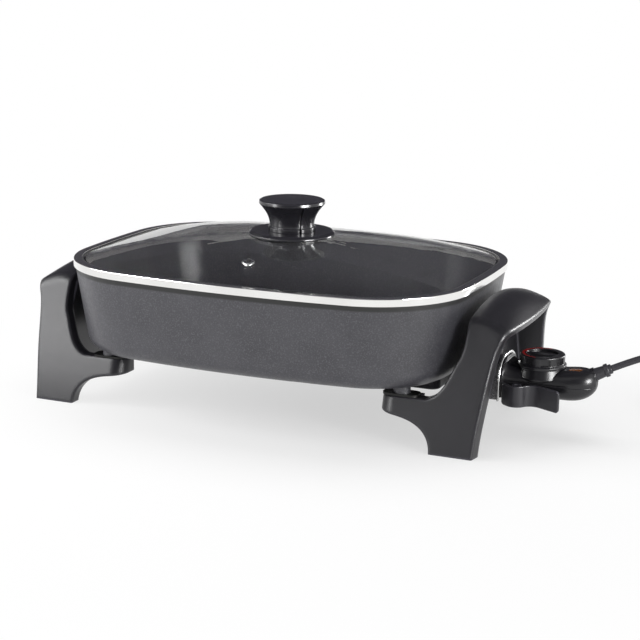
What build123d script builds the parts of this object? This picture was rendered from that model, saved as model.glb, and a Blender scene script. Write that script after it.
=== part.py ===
"""Electric skillet: a cast pan on two moulded handle and leg units, with a lift-off glass lid
and a plug-in heat control on a mains cord.

Millimetres, +Z up, +X towards the heat control. The counter is z = 0. Pieces are modelled about
the pan's centre and moved by centre_shift at the end, so that the origin is at the bottom centre
of the object without its cord.
"""
from build123d import *
import os
from math import cos, pi, radians, sin, sqrt, tan

os.makedirs("parts", exist_ok=True)

# Fits between pieces
flat_gap = 0.1           # between flat or cast faces of one body
running_gap = 0.05       # radial, shafts and pins that turn or slide
moving_gap = 0.3         # between faces of bodies that move apart

# Plan outline of the lid ring: bulging sides joined by corner arcs
ring_length = 400.0
ring_width = 300.0
side_bulge_radius = 1046.0
end_bulge_radius = 1030.0
corner_radius = 95.0
ring_top_z = 142.5

# Lid ring, a folded steel channel with a skirt that hangs inside the pan
ring_sheet = 1.0
ring_drop = 7.0
ring_lip = 8.0
ring_edge_radius = 0.9
skirt_drop = 13.0

# Lid glass
glass_thickness = 4.0
dome_rise = 23.7
dome_flatness = 2.2
dome_steps = (1.0, 0.93, 0.8, 0.62, 0.42, 0.2)
seal_width = 1.3
seal_height = 0.7

# Steam vent
vent_y = -97.0
vent_bore_radius = 2.6
vent_flange_radius = 6.2
vent_wall = 1.2
vent_flange_height = 0.8

# Knob on the lid
knob_base_radius = 41.7
knob_base_height = 4.0
knob_base_bevel = 2.4
knob_neck_radius = 21.5
knob_top_radius = 32.0
knob_height = 30.0
knob_rim_height = 4.4
knob_collar_height = 3.6
knob_groove_width = 2.2
knob_groove_depth = 1.6
knob_screw_radius = 2.5
knob_washer_radius = 9.0
knob_washer_height = 1.5

# Pan
rim_side_gap = 0.5
pan_wall = 3.5
pan_floor = 5.0
pan_bottom_z = 54.5
wall_draft = 9.1
pan_bottom_radius = 16.0
pan_inner_radius = 12.0
rim_rounding = 1.0

# Heating element, clinched into a cast ridge under the pan
element_radius = 3.5
element_half_length = 122.0
element_half_width = 78.0
element_turn_radius = 40.0
element_ridge_width = 13.0
element_ridge_drop = 5.0
terminal_half_pitch = 13.0
terminal_radius = 2.4
terminal_reach = 14.0
element_end_setback = 15.0

# Sensor rod and the well that takes it
sensor_z = 49.0
sensor_radius = 3.0
sensor_tip_x = 148.0
well_outer_radius = 6.5
well_near_x = 172.0
well_end_wall = 4.0

# Cast pad under the pan's right end, where the element and the well come out
pad_near_x = 140.0
pad_far_x = 176.0
pad_half_width = 67.0
pad_drop = 8.0
pad_radius = 9.0

# Handle and leg units, seen from the front (x) and from the side (y)
foot_inner_x = 183.0
foot_outer_x = 223.7
calf_outer_x = 228.9
calf_outer_z = 55.0
thigh_outer_x = 232.6
thigh_outer_z = 85.0
shoulder_x = 235.6
shoulder_z = 97.0
plate_edge_x = 241.5
plate_edge_z = 109.5
plate_bow = 4.0
plate_crest_x = 209.0
plate_top_z = 126.6
plate_crown = 9.0
plate_roll_x = 230.0
plate_roll_drop = 3.4
plate_inner_drop = 1.2
plate_thickness = 9.0
leg_inner_top_x = 204.3
leg_thigh_x = 198.5
leg_thigh_z = 77.5
leg_knee_x = 186.0
leg_knee_z = 53.3
arm_tip_x = 131.5
arm_top_z = 46.5
arm_bottom_z = 30.5
arm_thickness = 20.0
arm_root_x = 168.0
arm_tip_radius = 14.0
foot_half_spread = 110.8
leg_mid_spread = 94.5
leg_mid_z = 60.0
leg_top_spread = 68.9
leg_top_z = 121.0
leg_wall = 12.0
shoulder_radius = 15.0
leg_edge_radius = 1.6
web_x = 203.0
web_thickness = 3.0
web_bottom_z = 27.0
pan_clearance = 0.5

# Lugs, plates and screws that hold the units to the pan
mount_x = 150.0
mount_inset = 20.8
mount_plate_length = 34.0
mount_plate_width = 18.0
mount_plate_corner = 7.0
mount_plate_thickness = 2.0
boss_radius = 8.0
leg_screw_radius = 2.0
leg_screw_head_radius = 4.2
leg_screw_head_height = 3.0
leg_screw_grip = 8.0

# Inlet guard round the terminals
guard_half_width = 27.4
guard_bottom_z = 33.0
guard_top_z = 71.6
guard_corner_radius = 22.0
guard_wall = 1.4
guard_length = 19.0
guard_flange = 6.0
guard_lip = 1.4
guard_roll = 1.1
terminal_plate_thickness = 2.0
insulator_radius = 5.0
guard_screw_radius = 1.5
guard_screw_head_radius = 2.8
guard_screw_half_pitch = 30.6

# Heat control body, as sections along x
nose_gap = 0.7
nose_setback = 5.0
nose_length = 21.0
control_half_width = 18.0
control_top_z = 62.4
control_bottom_z = 35.0
control_length = 98.0
control_wall = 2.4
control_split_z = 49.5

# Temperature dial
dial_setback = 51.0
dial_bottom_z = 63.4
dial_height = 11.8
dial_skirt_radius = 22.4
dial_top_radius = 20.8
dial_skirt_height = 3.4
dial_grips = 8
dial_grip_width = 9.0
dial_grip_depth = 2.0
dial_ring_radius = 18.8
dial_ring_width = 2.6
dial_ring_depth = 0.8
dial_ring_start = 75.0
dial_ring_end = 265.0
dial_recess_radius = 14.6
dial_recess_depth = 2.4
dial_bar_width = 7.0
dial_marker_radius = 1.3
dial_foot_height = 8.6
dial_foot_flare = 0.6
dial_shaft_radius = 3.0
switch_length = 34.0
switch_width = 24.0
switch_height = 15.0

# Indicator lens in the tail
lens_setback = 84.0
lens_y = -5.0
lens_length = 13.0
lens_width = 6.0
lens_bottom_z = 57.0

# Release lever
lever_bottom_z = 30.0
lever_height = 20.0
lever_thickness = 3.2
lever_pin_setback = 35.5
lever_pin_y = -28.5
lever_pin_radius = 1.5
lever_knuckle_radius = 4.2
lever_knuckle_height = 4.0
lever_ear_radius = 3.2
lever_ear_height = 6.2
lever_corner_radius = 3.5
lever_edge_radius = 0.7
lever_spring_turns = 4
lever_spring_wire = 0.45

# Strain relief and cord
relief_turn = 15.0
relief_rise = 24.0
relief_setback = 114.5
relief_end_y = 6.5
relief_end_z = 66.3
relief_root = 26.0
relief_root_radius = 6.8
relief_radius = 5.2
relief_collar_radius = 6.2
relief_collar_length = 4.0
relief_nose_length = 3.0
relief_groove = 0.8
relief_socket = 15.5
cord_radius = 3.1
coil_setback = 179.0
coil_y = 130.0
coil_radius = 37.0
coil_turns = 4
tie_width = 6.0
tie_thickness = 1.2
tie_tab_length = 7.0
plug_length = 40.0
plug_radius = 18.0
plug_flat = 14.5
plug_pin_radius = 2.4
plug_pin_length = 19.0
plug_pin_half_pitch = 9.5

# Values worked out from those above
rim_inset = ring_sheet + rim_side_gap
rim_z = ring_top_z - ring_drop + 0.8
glass_top_z = ring_top_z - ring_sheet
glass_bottom_z = glass_top_z - glass_thickness
skirt_inset = ring_lip + ring_sheet
dome_inset = ring_lip + seal_width + flat_gap
element_z = pan_bottom_z - element_radius
mount_plate_z = arm_top_z + mount_plate_thickness
mount_y = foot_half_spread - mount_inset
web_outer_x = web_x + web_thickness
terminal_tip_x = web_x + terminal_reach
element_end_x = web_x - element_end_setback
guard_mouth_x = web_x + guard_length
nose_start_x = web_x + nose_setback
nose_end_x = nose_start_x + nose_length
control_tail_x = nose_start_x + control_length
dial_x = web_x + dial_setback
lens_x = web_x + lens_setback
lever_pin_x = web_x + lever_pin_setback
relief_end = (web_x + relief_setback, relief_end_y, relief_end_z)
coil_x = web_x + coil_setback
terminal_plate_x = web_x - guard_lip - terminal_plate_thickness
relief_direction = Vector(
    cos(radians(relief_rise)) * cos(radians(relief_turn)),
    cos(radians(relief_rise)) * sin(radians(relief_turn)),
    sin(radians(relief_rise)),
)
relief_half_extent = (cord_radius + 1.4) * sqrt(1 - relief_direction.X**2)
centre_shift = -(relief_end[0] + relief_half_extent - plate_edge_x - plate_bow) / 2
coil_slots = coil_turns + 1
coil_slot_radius = cord_radius / sin(pi / coil_slots)
coil_section_radius = coil_slot_radius + cord_radius + flat_gap
tie_inner_radius = coil_section_radius + 0.2
tie_z = tie_inner_radius + tie_thickness
coil_z = tie_z - 0.15


def save(name, *solids):
    """Write one node, moved so that the origin is the object's bottom centre."""
    moved = [Pos(centre_shift, 0, 0) * solid for piece in solids for solid in piece.solids()]
    export_step(moved[0] if len(moved) == 1 else Compound(children=moved), f"parts/{name}.step")


def on_x(x, y=0.0, z=0.0):
    """Plane facing +X whose own axes are Y and Z."""
    return Plane(origin=(x, y, z), x_dir=(0, 1, 0), z_dir=(1, 0, 0))


def rod_x(radius, x_from, x_to, y=0.0, z=0.0):
    """Cylinder along X."""
    return extrude(on_x(x_from, y, z) * Circle(radius), x_to - x_from)


def rod_z(radius, z_from, z_to, x=0.0, y=0.0):
    """Cylinder along Z."""
    return extrude(Pos(x, y, z_from) * Circle(radius), z_to - z_from)


def block(low, high):
    """Box between two corners."""
    size = [b - a for a, b in zip(low, high)]
    centre = [(a + b) / 2 for a, b in zip(low, high)]
    return Pos(*centre) * Box(*size)


def four_corners(x, y):
    """The points at plus and minus x and y."""
    return [(sx * x, sy * y) for sx in (-1, 1) for sy in (-1, 1)]


# ---------------------------------------------------------------- plan outline
def outline(inset=0.0, z=0.0):
    """Face of the plan outline, moved inwards by inset, at height z."""
    half_x = ring_length / 2 - inset
    half_y = ring_width / 2 - inset
    side_r = side_bulge_radius - inset
    end_r = end_bulge_radius - inset
    corner_r = corner_radius - inset
    side_centre = Vector(0, half_y - side_r)
    end_centre = Vector(half_x - end_r, 0)
    span = (end_centre - side_centre).length
    to_side = side_r - corner_r
    to_end = end_r - corner_r
    along = (to_side**2 - to_end**2 + span**2) / (2 * span)
    across = sqrt(to_side**2 - along**2)
    unit = (end_centre - side_centre).normalized()
    corner = side_centre + unit * along + Vector(unit.Y, -unit.X) * across
    side_point = side_centre + (corner - side_centre).normalized() * side_r
    end_point = end_centre + (corner - end_centre).normalized() * end_r
    middle = (side_point + end_point) * 0.5
    corner_point = corner + (middle - corner).normalized() * corner_r

    def at(point, sx, sy):
        return (point.X * sx, point.Y * sy, z)

    edges = [
        ThreePointArc(at(end_point, 1, -1), (half_x, 0, z), at(end_point, 1, 1)),
        ThreePointArc(at(side_point, 1, 1), (0, half_y, z), at(side_point, -1, 1)),
        ThreePointArc(at(end_point, -1, 1), (-half_x, 0, z), at(end_point, -1, -1)),
        ThreePointArc(at(side_point, -1, -1), (0, -half_y, z), at(side_point, 1, -1)),
    ]
    for sx, sy in ((1, 1), (-1, 1), (-1, -1), (1, -1)):
        edges.append(
            ThreePointArc(at(end_point, sx, sy), at(corner_point, sx, sy), at(side_point, sx, sy))
        )
    return make_face(Wire.combine([Edge(e.wrapped) for e in edges])[0])


def band(outer_inset, inner_inset, z_from, z_to):
    """Ring that follows the outline."""
    outer = extrude(outline(outer_inset, z_from), z_to - z_from, dir=(0, 0, 1))
    inner = extrude(outline(inner_inset, z_from - 1), z_to - z_from + 2, dir=(0, 0, 1))
    return outer - inner


# ---------------------------------------------------------------- lid
def lid_ring():
    """Folded steel channel that grips the glass edge, with a skirt inside the pan."""
    shelf_top = glass_bottom_z - flat_gap
    shelf_bottom = shelf_top - ring_sheet
    drop_z = ring_top_z - ring_drop
    outer = extrude(outline(0, drop_z), ring_drop, dir=(0, 0, 1))
    outer = fillet(outer.faces().sort_by(Axis.Z)[-1].edges(), ring_edge_radius)
    outer -= extrude(outline(ring_sheet, drop_z - 1), ring_drop + 1 - ring_sheet, dir=(0, 0, 1))
    outer -= extrude(outline(ring_lip, ring_top_z - 5), 10, dir=(0, 0, 1))
    shelf = band(ring_sheet / 2, skirt_inset, shelf_bottom, shelf_top)
    skirt = band(ring_lip, skirt_inset, ring_top_z - skirt_drop, shelf_top)
    return outer + shelf + skirt


def dome_height(step):
    """Rise of the dome over its base, where its contours are step times the base's size."""
    return dome_rise * (1 - step**dome_flatness)


apex_z = glass_top_z + dome_height(dome_steps[-1])


def dome(base_z, base_scale=1.0):
    """Solid under a low dome whose contours are all of the outline's shape."""
    base = outline(dome_inset)
    sections = []
    for step in dome_steps:
        sections.append(Pos(0, 0, base_z + dome_height(step)) * scale(base, by=step * base_scale))
    return loft(sections, ruled=False)


def glass_blank():
    """The glass before its two holes are cut."""
    rim = extrude(outline(ring_sheet + flat_gap, glass_bottom_z), glass_thickness, dir=(0, 0, 1))
    thinner = 1 - 1.6 * glass_thickness / ring_length
    return rim + dome(glass_top_z) - dome(glass_bottom_z, thinner)


def vent_seat():
    """Plane on the glass at the vent, and the glass's thickness there."""
    upright = Axis((0, vent_y, 0), (0, 0, 1))
    hits = sorted(glass_blank().find_intersection_points(upright), key=lambda hit: hit[0].Z)
    below, above = hits[0][0], hits[-1][0]
    normal = hits[-1][1] * (1 if hits[-1][1].Z > 0 else -1)
    return Plane(origin=above, x_dir=(1, 0, 0), z_dir=normal), (above - below).dot(normal)


def lid_glass():
    """Pressed glass with a flat rim, a hole for the knob's screw and one for the vent."""
    seat = vent_seat()[0]
    hole = Cylinder(vent_bore_radius + vent_wall + running_gap, 6 * glass_thickness)
    solid = glass_blank() - rod_z(knob_screw_radius + 1, apex_z - 20, apex_z + 20)
    return solid - seat * hole


def rim_seal():
    """Dark silicone bead between the steel lip and the glass."""
    return band(ring_lip, ring_lip + seal_width, glass_top_z, glass_top_z + seal_height)


def vent_grommet():
    """Steel eyelet in the glass, with a flange above and below it."""
    seat, thickness = vent_seat()
    low = -thickness - 2 * flat_gap
    high = 2 * flat_gap
    eyelet = rod_z(vent_bore_radius + vent_wall, low - vent_flange_height, high)
    top = rod_z(vent_flange_radius, high, high + vent_flange_height)
    eyelet += chamfer(top.faces().sort_by(Axis.Z)[-1].edges(), vent_flange_height * 0.6)
    eyelet += rod_z(vent_flange_radius * 0.8, low - vent_flange_height, low)
    return seat * (eyelet - rod_z(vent_bore_radius, -20, 20))


def knob_base():
    """Round plate under the knob, with a bevelled edge."""
    plate = rod_z(knob_base_radius, apex_z, apex_z + knob_base_height)
    plate = chamfer(plate.faces().sort_by(Axis.Z)[-1].edges(), knob_base_bevel)
    plate -= rod_z(knob_screw_radius + running_gap, apex_z - 1, apex_z + 10)
    return plate


def lid_knob():
    """Flared knob with four grooves down its neck."""
    base_z = apex_z + knob_base_height
    rim_z_low = knob_height - knob_rim_height
    with BuildPart() as knob:
        with BuildSketch(Plane.XZ):
            with BuildLine():
                Polyline((0, 0), (knob_neck_radius + 1.4, 0), (knob_neck_radius + 1.4, knob_collar_height))
                Line((knob_neck_radius + 1.4, knob_collar_height), (knob_neck_radius, knob_collar_height + 0.8))
                Spline(
                    (knob_neck_radius, knob_collar_height + 0.8),
                    (knob_neck_radius + 3.2, knob_height * 0.56),
                    (knob_top_radius - 0.6, rim_z_low),
                    tangents=[(0, 1), (0.9, 1)],
                )
                Line((knob_top_radius - 0.6, rim_z_low), (knob_top_radius, rim_z_low + 1))
                Line((knob_top_radius, rim_z_low + 1), (knob_top_radius - 0.4, knob_height - 0.8))
                Line((knob_top_radius - 0.4, knob_height - 0.8), (knob_top_radius - 2, knob_height))
                Line((knob_top_radius - 2, knob_height), (0, knob_height + 0.6))
                Line((0, knob_height + 0.6), (0, 0))
            make_face()
        revolve(axis=Axis.Z)
    body = knob.part
    groove = block(
        (knob_neck_radius - knob_groove_depth, -knob_groove_width / 2, -1),
        (knob_top_radius + 5, knob_groove_width / 2, rim_z_low - 0.6),
    )
    for turn in (45, 135, 225, 315):
        body -= Rot(0, 0, turn) * groove
    body -= rod_z(knob_screw_radius + running_gap, -1, knob_height - 8)
    return Pos(0, 0, base_z) * body


def knob_screw():
    """Pan-head screw that comes up through the glass into the knob."""
    head_z = apex_z - glass_thickness - knob_washer_height
    shank = rod_z(knob_screw_radius, head_z, apex_z + knob_base_height + 18)
    head = rod_z(knob_screw_radius * 2, head_z - 3, head_z)
    head = fillet(head.faces().sort_by(Axis.Z)[0].edges(), 1.4)
    head -= block((-4, -0.5, head_z - 4), (4, 0.5, head_z - 1.8))
    head -= block((-0.5, -4, head_z - 4), (0.5, 4, head_z - 1.8))
    return shank + head


def knob_washer():
    """Washer between the screw's head and the glass."""
    top = apex_z - glass_thickness
    washer = rod_z(knob_washer_radius, top - knob_washer_height, top)
    return washer - rod_z(knob_screw_radius + running_gap, top - 5, top + 5)


# ---------------------------------------------------------------- pan
def bowl(top_inset, top_z, bottom_z, bottom_radius):
    """Block of the pan's form: drafted walls and a rounded bottom edge."""
    bottom_inset = top_inset + (top_z - bottom_z) * tan(radians(wall_draft))
    form = loft([outline(top_inset, top_z), outline(bottom_inset, bottom_z)], ruled=True)
    return fillet(form.faces().sort_by(Axis.Z)[0].edges(), bottom_radius)


def element_path(reach_x):
    """Centre line of the heating element, open towards the inlet."""
    in_x = element_half_length
    in_y = element_half_width
    near_y = terminal_half_pitch
    corners = [(in_x, near_y), (in_x, in_y), (-in_x, in_y)]
    points = [(reach_x, near_y)] + corners
    points += [(x, -y) for x, y in reversed(corners)] + [(reach_x, -near_y)]
    radii = [12, element_turn_radius, element_turn_radius] * 2
    radii[3:] = [element_turn_radius, element_turn_radius, 12]
    return FilletPolyline(*[(x, y, element_z) for x, y in points], radius=radii)


def along(path, section):
    """Sweep a section, drawn with its own y down, along a path."""
    start = Plane(origin=path @ 0, x_dir=(0, 1, 0), z_dir=path % 0)
    return sweep(start * section, path=path)


def sensor_well():
    """Cast boss under the pan that takes the sensor rod."""
    tip = sensor_tip_x - well_end_wall
    tube = rod_x(well_outer_radius, tip, well_near_x, 0, sensor_z)
    web = block((tip, -well_outer_radius, sensor_z), (well_near_x, well_outer_radius, pan_bottom_z + 1))
    mouth_x = max(well_near_x, pad_far_x) + 1
    bore = rod_x(sensor_radius + running_gap, sensor_tip_x - 1, mouth_x, 0, sensor_z)
    return tube + web, bore


def terminal_pad():
    """Cast pad that carries the element's ends and the sensor well."""
    low = (pad_near_x, -pad_half_width, pan_bottom_z - pad_drop)
    pad = block(low, (pad_far_x, pad_half_width, pan_bottom_z + pan_floor / 2))
    pad = fillet(pad.edges().filter_by(Axis.Z), pad_radius)
    return chamfer(pad.faces().sort_by(Axis.Z)[0].edges(), 1)


def pan():
    """Cast pan with the element's ridge, the terminal pad, the sensor well and four bosses below."""
    cavity_inset = rim_inset + pan_wall
    floor_z = pan_bottom_z + pan_floor
    inner_top_inset = cavity_inset - tan(radians(wall_draft))
    solid = bowl(rim_inset, rim_z, pan_bottom_z, pan_bottom_radius)
    solid -= bowl(inner_top_inset, rim_z + 1, floor_z, pan_inner_radius)
    rim_edges = solid.faces().sort_by(Axis.Z)[-1].edges()
    solid = fillet(rim_edges, rim_rounding)
    ridge_top = element_ridge_drop + 1
    ridge = Pos(0, -(element_radius + 1 - ridge_top / 2)) * Rectangle(element_ridge_width, ridge_top)
    solid += along(element_path(well_near_x - 8), ridge)
    boss_z = mount_plate_z
    for x, y in four_corners(mount_x, mount_y):
        solid += rod_z(boss_radius, boss_z, pan_bottom_z + 1, x, y)
        solid -= rod_z(leg_screw_radius + running_gap, boss_z - 1, pan_bottom_z + 1, x, y)
    well, bore = sensor_well()
    solid = solid + terminal_pad() + well - bore
    return solid - along(element_path(element_end_x + 20), Circle(element_radius + running_gap))


def heating_element():
    """Sheathed tube element."""
    return along(element_path(element_end_x), Circle(element_radius))


def terminal_pins():
    """The two flat-ended pins that the heat control plugs on to."""
    pins = []
    for side in (-1, 1):
        pin = rod_x(terminal_radius, element_end_x, terminal_tip_x, side * terminal_half_pitch, element_z)
        pins.append(chamfer(pin.faces().sort_by(Axis.X)[-1].edges(), 0.8))
    return pins


# ---------------------------------------------------------------- handle and leg units
def side_arch(inset, bottom_z=0.0):
    """Splayed arch of a unit, seen along X, moved inwards by inset."""
    foot = foot_half_spread - inset
    middle = leg_mid_spread - inset
    top = leg_top_spread - inset
    with BuildSketch(Plane.YZ) as sketch:
        with BuildLine():
            ThreePointArc((-foot, bottom_z), (-middle, leg_mid_z), (-top, leg_top_z))
            Polyline((-top, leg_top_z), (8 - top, leg_top_z + 14), (top - 8, leg_top_z + 14), (top, leg_top_z))
            ThreePointArc((top, leg_top_z), (middle, leg_mid_z), (foot, bottom_z))
            Line((foot, bottom_z), (-foot, bottom_z))
        make_face()
    return extrude(sketch.sketch, ring_length)


def leg_spread(z):
    """Half spread of the legs' outer faces at height z."""
    at_foot = (z - leg_mid_z) * (z - leg_top_z) / (leg_mid_z * leg_top_z)
    at_middle = z * (z - leg_top_z) / (leg_mid_z * (leg_mid_z - leg_top_z))
    at_top = z * (z - leg_mid_z) / (leg_top_z * (leg_top_z - leg_mid_z))
    return foot_half_spread * at_foot + leg_mid_spread * at_middle + leg_top_spread * at_top


def bow(y):
    """How far a unit's outer face stands out at y, against the plate's ends."""
    return plate_bow * (1 - (y / leg_top_spread) ** 2)


def outside():
    """Everything beyond a unit's outer face, which is bowed as seen from above."""
    points = [
        (foot_outer_x, 0),
        (calf_outer_x, calf_outer_z),
        (thigh_outer_x, thigh_outer_z),
        (shoulder_x, shoulder_z),
        (plate_edge_x, plate_edge_z),
    ]
    line = [(x - bow(leg_spread(z)), z) for x, z in points]
    far_x = plate_edge_x + 40
    sections = []
    for y in (-foot_half_spread - 5, 0, foot_half_spread + 5):
        moved = [(x + bow(y), z) for x, z in line]
        low_x, high_x = moved[0][0], moved[-1][0] + 8
        high_z = plate_top_z + 15
        with BuildSketch(Plane.XZ.offset(-y)) as sketch:
            with BuildLine():
                Line((low_x, -6), moved[0])
                Spline(*moved, tangents=[(0, 1), (0.5, 1)])
                Line(moved[-1], (high_x, high_z))
                Polyline((high_x, high_z), (far_x, high_z), (far_x, -6), (low_x, -6))
            make_face()
        sections.append(sketch.sketch)
    return loft(sections)


def above_plate(drop=0.0):
    """Everything above a unit's top surface, lowered by drop: crowned lengthwise, rolled off outwards."""
    far_y = leg_spread(shoulder_z) + 8
    inner_x = web_x - 30
    top_z = plate_top_z + 30
    sections = []
    for y in (-far_y, -far_y / 2, 0, far_y / 2, far_y):
        part_way = (y / leg_top_spread) ** 2
        crest_z = plate_top_z - plate_crown * part_way - drop
        edge_z = plate_edge_z - plate_crown / 2 * max(0, part_way - 1) - drop
        edge_x = plate_edge_x + bow(y)
        with BuildSketch(Plane.XZ.offset(-y)) as sketch:
            with BuildLine():
                Spline(
                    (inner_x, crest_z - 4),
                    (web_x, crest_z - plate_inner_drop),
                    (plate_crest_x, crest_z),
                    (plate_roll_x, crest_z - plate_roll_drop),
                    (edge_x, edge_z),
                    (edge_x + 3, edge_z - 3.6),
                    tangents=[(1, 0.1), (0.7, -1)],
                )
                Polyline((edge_x + 3, edge_z - 3.6), (edge_x + 15, edge_z - 10), (edge_x + 15, top_z))
                Polyline((edge_x + 15, top_z), (inner_x, top_z), (inner_x, crest_z - 4))
            make_face()
        sections.append(sketch.sketch)
    return loft(sections)


def front_form():
    """Block of a unit's outline as seen from the front, with its outer side left long."""
    outer_x = plate_edge_x + 12
    top_z = plate_top_z + 10
    with BuildSketch(Plane.XZ) as sketch:
        with BuildLine():
            Polyline((leg_inner_top_x, plate_edge_z), (leg_inner_top_x, top_z), (outer_x, top_z))
            Polyline((outer_x, top_z), (outer_x, 0), (foot_inner_x, 0))
            Spline(
                (foot_inner_x, 0),
                (arm_tip_x + 38, arm_bottom_z - 8),
                (arm_tip_x, arm_bottom_z + 1),
                tangents=[(-0.05, 1), (-1, 0.15)],
            )
            Line((arm_tip_x, arm_bottom_z + 1), (arm_tip_x, arm_top_z))
            Line((arm_tip_x, arm_top_z), (foot_inner_x - 8, arm_top_z))
            Spline(
                (foot_inner_x - 8, arm_top_z),
                (leg_knee_x, leg_knee_z),
                (leg_thigh_x, leg_thigh_z),
                (leg_inner_top_x, plate_edge_z),
                tangents=[(1, 0.3), (0, 1)],
            )
        make_face()
    return extrude(sketch.sketch, foot_half_spread + 10, both=True)


def on_skin(edge):
    """Whether an edge lies on a leg's splayed outer face, above the floor."""
    middle = edge.position_at(0.5)
    return middle.Z > leg_edge_radius and abs(abs(middle.Y) - leg_spread(middle.Z)) < leg_edge_radius


def unit_form():
    """Outer form of a unit before it is hollowed, with its tips, shoulders and edges rounded."""
    form = (front_form() & side_arch(0)) - outside() - above_plate()
    ends = form.edges().filter_by(on_skin).filter_by(lambda e: e.position_at(0.5).X < arm_tip_x + 4)
    form = fillet(ends, arm_tip_radius)
    top = form.faces().sort_by(Axis.Z)[-1]
    across = top.edges().sort_by(Axis.Y)
    form = fillet([across[0], across[-1]], shoulder_radius)
    top = form.faces().sort_by(Axis.Z)[-1]
    long_edges = top.edges().filter_by(lambda e: e.bounding_box().size.Y > leg_top_spread)
    return fillet(form.edges().filter_by(on_skin) + long_edges, leg_edge_radius)


def handle_unit():
    """Right-hand unit: a top plate, two splayed legs with arms under the pan, and an inner web."""
    form = unit_form()
    hollow = side_arch(leg_wall, -1) - above_plate(plate_thickness)
    arm_space = block((arm_tip_x - 5, -foot_half_spread, -1), (arm_root_x, foot_half_spread, arm_top_z + 5))
    between = foot_half_spread - leg_wall - arm_thickness
    arms = form & (arm_space - block((0, -between, -5), (arm_root_x + 50, between, arm_top_z + 20)))
    web = hollow & block((web_x, -foot_half_spread, web_bottom_z), (web_outer_x, foot_half_spread, plate_top_z))
    unit = form - hollow + arms + web
    grown = bowl(rim_inset - pan_clearance, rim_z, pan_bottom_z - pan_clearance, pan_bottom_radius)
    return unit - grown


def leg_screw_holes():
    """Counterbored holes up through the arms."""
    holes = []
    for x, y in four_corners(mount_x, mount_y):
        head_z = arm_top_z - leg_screw_grip
        hole = rod_z(leg_screw_radius + running_gap, 0, arm_top_z + 1, x, y)
        holes.append(hole + rod_z(leg_screw_head_radius + 0.4, 0, head_z, x, y))
    return holes


def guard_form(grow, x_from, x_to):
    """Block of the guard's arched outline, grown outwards."""
    half = guard_half_width + grow
    low = guard_bottom_z - grow
    high = guard_top_z + grow
    radius = guard_corner_radius + grow
    with BuildSketch(on_x(x_from)) as sketch:
        with BuildLine():
            Polyline((-half, high - radius), (-half, low), (half, low), (half, high - radius))
            ThreePointArc(
                (half, high - radius),
                (half - radius * (1 - sqrt(0.5)), high - radius * (1 - sqrt(0.5))),
                (half - radius, high),
            )
            Line((half - radius, high), (radius - half, high))
            ThreePointArc(
                (radius - half, high),
                (radius * (1 - sqrt(0.5)) - half, high - radius * (1 - sqrt(0.5))),
                (-half, high - radius),
            )
        make_face()
    return extrude(sketch.sketch, x_to - x_from)


def handles():
    """Both units, bored for their screws, the right one with the inlet's window."""
    unit = handle_unit()
    for hole in leg_screw_holes():
        unit -= hole
    left = mirror(unit, about=Plane.YZ)
    right = unit - guard_form(flat_gap, web_x - 2, web_outer_x + 2)
    for side in (-1, 1):
        y = side * guard_screw_half_pitch
        right -= rod_x(guard_screw_radius + running_gap, web_x - 2, web_outer_x + 2, y, element_z)
    return left, right


def mounting_plates():
    """Steel plates between the arms and the pan's bosses."""
    plates = []
    for x, y in four_corners(mount_x, mount_y):
        plate = RectangleRounded(mount_plate_length, mount_plate_width, mount_plate_corner)
        plate -= Circle(leg_screw_radius + running_gap)
        solid = extrude(Pos(x, y, arm_top_z) * plate, mount_plate_thickness)
        plates.append(solid)
    return plates


def leg_screws():
    """The four screws that hold the arms to the pan."""
    screws = []
    for x, y in four_corners(mount_x, mount_y):
        head_z = arm_top_z - leg_screw_grip
        shank = rod_z(leg_screw_radius, head_z, pan_bottom_z, x, y)
        head = rod_z(leg_screw_head_radius, head_z - leg_screw_head_height, head_z, x, y)
        head = fillet(head.faces().sort_by(Axis.Z)[0].edges(), 1.2)
        slot_z = head_z - leg_screw_head_height
        head -= block((x - 3, y - 0.5, slot_z - 1), (x + 3, y + 0.5, slot_z + 1.4))
        head -= block((x - 0.5, y - 3, slot_z - 1), (x + 0.5, y + 3, slot_z + 1.4))
        screws.append(shank + head)
    return screws


# ---------------------------------------------------------------- inlet
def inlet_guard():
    """Steel shroud round the terminals, flanged behind the web and rolled at its mouth."""
    back_x = web_x - guard_lip
    sleeve = guard_form(0, back_x, guard_mouth_x)
    roll_start_x = guard_mouth_x - 2 * guard_roll
    mouth = guard_form(guard_roll, roll_start_x, guard_mouth_x)
    rims = mouth.faces().filter_by(Axis.X).edges()
    mouth = fillet(rims, guard_roll * 0.9)
    flange = guard_form(guard_flange, back_x, web_x)
    guard = sleeve + mouth + flange - guard_form(-guard_wall, back_x - 1, guard_mouth_x + 1)
    for side in (-1, 1):
        y = side * guard_screw_half_pitch
        guard -= rod_x(guard_screw_radius + running_gap, back_x - 1, web_x + 1, y, element_z)
    return guard


def guard_screws():
    """Two small screws through the guard's flange into the web."""
    screws = []
    for side in (-1, 1):
        y = side * guard_screw_half_pitch
        shank = rod_x(guard_screw_radius, web_x - guard_lip, web_outer_x, y, element_z)
        head = rod_x(guard_screw_head_radius, web_x - guard_lip - 1.8, web_x - guard_lip, y, element_z)
        head = fillet(head.faces().sort_by(Axis.X)[0].edges(), 0.9)
        screws.append(shank + head)
    return screws


def terminal_plate():
    """Plate that closes the guard's back, with holes for the insulators and the sensor rod."""
    plate = guard_form(0, terminal_plate_x, terminal_plate_x + terminal_plate_thickness)
    for side in (-1, 1):
        y = side * terminal_half_pitch
        hole = rod_x(insulator_radius + running_gap, terminal_plate_x - 1, web_x, y, element_z)
        plate -= hole
    return plate - rod_x(sensor_radius + 1, terminal_plate_x - 1, web_x, 0, sensor_z)


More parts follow.
